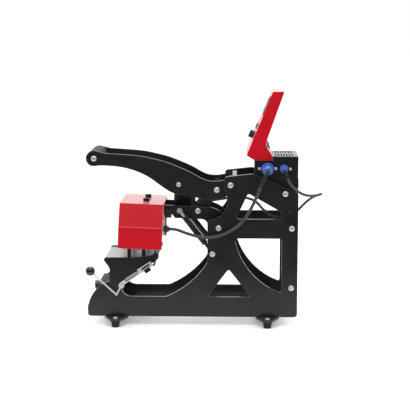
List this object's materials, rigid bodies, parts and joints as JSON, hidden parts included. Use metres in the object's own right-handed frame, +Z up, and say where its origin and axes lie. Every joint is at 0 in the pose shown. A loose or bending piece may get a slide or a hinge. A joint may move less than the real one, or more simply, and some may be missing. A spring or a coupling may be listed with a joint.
{
  "type": "tabletop cap heat press",
  "caption": "Tabletop cap heat press: lever handle, hinged red heater on gas springs over a curved cap form, black side-plate frame and tilted control head.",
  "frame": {"origin": "on the ground, midway along the side plates and across the machine", "axes": "+X to the rear (control box), -X to the operator's side (handle grip and cap form), +Y to the machine's left as the operator sees it, +Z up"},
  "size_m": [0.5802, 0.2199, 0.5777],
  "materials": {
    "black_powder_coat": "satin powder coat",
    "red_powder_coat": "gloss powder coat",
    "silver_deck_paint": "satin silver paint",
    "zinc_steel": "zinc plated",
    "polished_steel": "ground and polished",
    "blackened_steel": "blackened",
    "cast_aluminium": "cast and machined",
    "black_rubber": "moulded",
    "grip_foam": "fine foam sleeve",
    "silicone_pad": "matte silicone",
    "ceramic_fibre": "matte fibre board",
    "black_plastic": "fine texture",
    "gloss_black_plastic": "polished",
    "display_window": "smoked window",
    "blue_plastic": "moulded",
    "board_laminate": "satin",
    "supply_case": "satin",
    "cable_jacket": "satin jacket"
  },
  "bodies": {
    "frame": {"side_plate_right": "black_powder_coat", "side_plate_left": "black_powder_coat", "frame_spacers": "black_powder_coat", "handle_pivot_shaft": "polished_steel", "arm_pivot_shaft": "polished_steel", "spring_anchor_pins": "zinc_steel", "frame_bolts": "zinc_steel", "cable_clip": "black_plastic", "cross_feet": "black_powder_coat", "rubber_feet": "black_rubber", "foot_bolts": "zinc_steel", "form_mount_block": "black_powder_coat", "platen_plate_right": "black_powder_coat", "platen_plate_left": "black_powder_coat", "platen_deck": "silver_deck_paint", "form_posts": "blackened_steel", "cap_form": "cast_aluminium", "form_pad": "silicone_pad", "control_box": "black_powder_coat", "control_box_cover": "black_powder_coat", "control_head": "red_powder_coat", "display_panel": "display_window", "control_board": "board_laminate", "power_supply": "supply_case", "panel_sockets": "blue_plastic", "cable_plugs": "blue_plastic", "mains_inlet": "black_plastic", "switch_bezel": "black_plastic", "heater_cable": "cable_jacket", "magnet_cable": "cable_jacket"},
    "handle": {"handle_plate_right": "black_powder_coat", "handle_plate_left": "black_powder_coat", "handle_grip": "grip_foam", "link_pin_upper": "polished_steel", "armature_carrier": "black_powder_coat", "armature_plate": "blackened_steel", "handle_bolts": "zinc_steel"},
    "link": {"links": "black_powder_coat"},
    "heater_arm": {"arm_plate_right": "black_powder_coat", "arm_plate_left": "black_powder_coat", "arm_cross_plates": "black_powder_coat", "link_pin_lower": "polished_steel", "electromagnet": "blackened_steel", "arm_bolts": "zinc_steel", "heater_housing": "red_powder_coat", "heater_block": "cast_aluminium", "heater_insulation": "ceramic_fibre", "heater_bolts": "blackened_steel", "heater_gland": "black_plastic"},
    "spring_rod": {"gas_spring_rods": "polished_steel"},
    "spring_tube": {"gas_spring_tubes": "black_powder_coat"},
    "lock_screw": {"lock_knob": "gloss_black_plastic"},
    "holddown": {"holddown_lever": "zinc_steel", "ball_knob": "gloss_black_plastic", "holddown_bail": "zinc_steel", "bail_springs": "zinc_steel", "strap_bar": "blackened_steel"},
    "dial": {"dial_knob": "black_plastic"},
    "button": {"push_button": "gloss_black_plastic"},
    "rocker": {"power_rocker": "gloss_black_plastic"}
  },
  "joints": [
    {"name": "handle_hinge", "type": "hinge", "parent": "frame", "child": "handle", "pos_m": [0.094, 0, 0.351], "axis": [0, 1, 0], "range_deg": [0, 50]},
    {"name": "arm_hinge", "type": "hinge", "parent": "frame", "child": "heater_arm", "pos_m": [0.065, 0, 0.2445], "axis": [0, 1, 0], "range_deg": [0, 25.45], "deforming": ["magnet_cable", "heater_cable"]},
    {"name": "link_pivot", "type": "hinge", "parent": "handle", "child": "link", "pos_m": [0.0605, 0, 0.338], "axis": [0, 1, 0], "range_deg": [-68.3, 0]},
    {"name": "spring_rod_pivot", "type": "hinge", "parent": "heater_arm", "child": "spring_rod", "pos_m": [-0.031, 0, 0.285], "axis": [0, 1, 0], "range_deg": [-8.8, 0]},
    {"name": "spring_slide", "type": "slide", "parent": "spring_rod", "child": "spring_tube", "axis": [0.6108, 0, -0.7918], "range_m": [0, 0.0199]},
    {"name": "lock_screw_turn", "type": "hinge", "parent": "frame", "child": "lock_screw", "pos_m": [-0.24, 0, 0.085], "axis": [1, 0, 0], "continuous": true},
    {"name": "holddown_hinge", "type": "hinge", "parent": "frame", "child": "holddown", "pos_m": [-0.174, 0, 0.102], "axis": [0, 1, 0], "range_deg": [0, 28]},
    {"name": "dial_turn", "type": "hinge", "parent": "frame", "child": "dial", "pos_m": [0.15035, 0, 0.46769], "axis": [-0.926, 0, 0.3775], "continuous": true},
    {"name": "button_press", "type": "slide", "parent": "frame", "child": "button", "axis": [0.926, 0, -0.3775], "range_m": [0, 0.0015], "stiffness_N_per_m": 400},
    {"name": "rocker_hinge", "type": "hinge", "parent": "frame", "child": "rocker", "pos_m": [0.2555, -0.026, 0.352], "axis": [0, 1, 0], "range_deg": [0, 14]}
  ],
  "couplings": [
    {"joint": "arm_hinge", "follows": "handle_hinge", "ratio": 0.5086},
    {"joint": "link_pivot", "follows": "handle_hinge", "ratio": -1.3637},
    {"joint": "spring_rod_pivot", "follows": "handle_hinge", "ratio": -0.17343},
    {"joint": "spring_slide", "follows": "handle_hinge", "m_per_rad": 0.022572}
  ]
}
